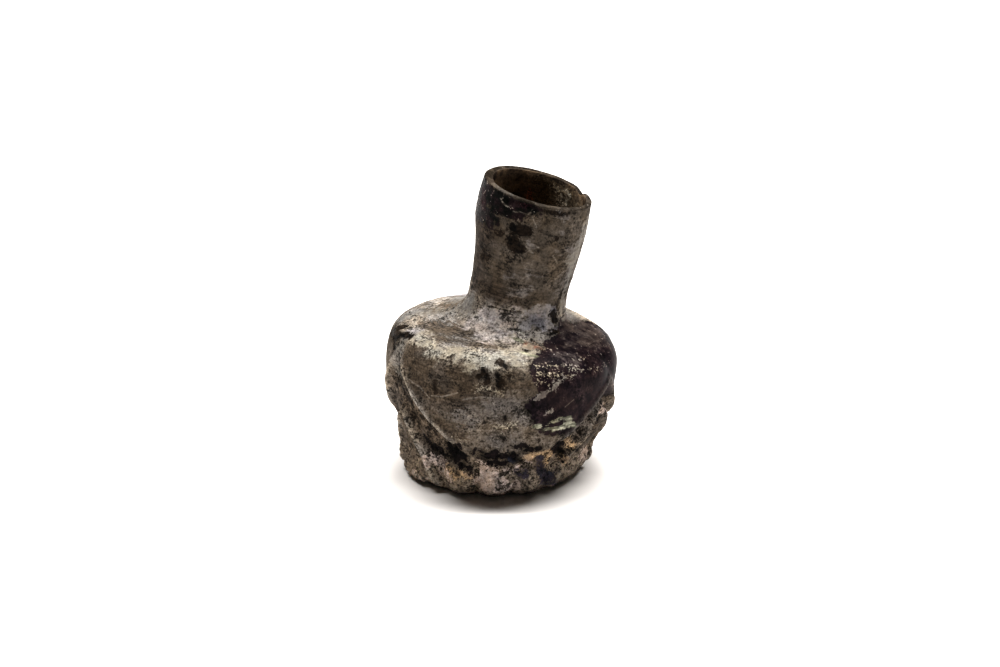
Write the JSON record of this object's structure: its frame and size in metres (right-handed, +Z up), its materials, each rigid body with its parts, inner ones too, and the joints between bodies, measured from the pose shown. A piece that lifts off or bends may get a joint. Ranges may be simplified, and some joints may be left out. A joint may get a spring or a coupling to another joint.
{
  "type": "ancient glass perfume flask",
  "caption": "Small mould-blown glass perfume flask: squat petalled body on a lobed base, leaning tubular neck with a slanting chipped lip, weathered crust over dark glass.",
  "frame": {"origin": "on the resting plane, under the middle of the flask's bounding box", "axes": "+Z up through the mouth; -Y towards the shown side; the neck leans towards +X"},
  "size_m": [0.0466, 0.0466, 0.0617],
  "materials": {
    "weathered_glass": "dark glass weathered opaque: matte grey-brown crust, pale chalky bands, flaked patches of bare glossy purple-black glass with iridescent films"
  },
  "bodies": {
    "root": {"flask": "weathered_glass"}
  },
  "joints": []
}
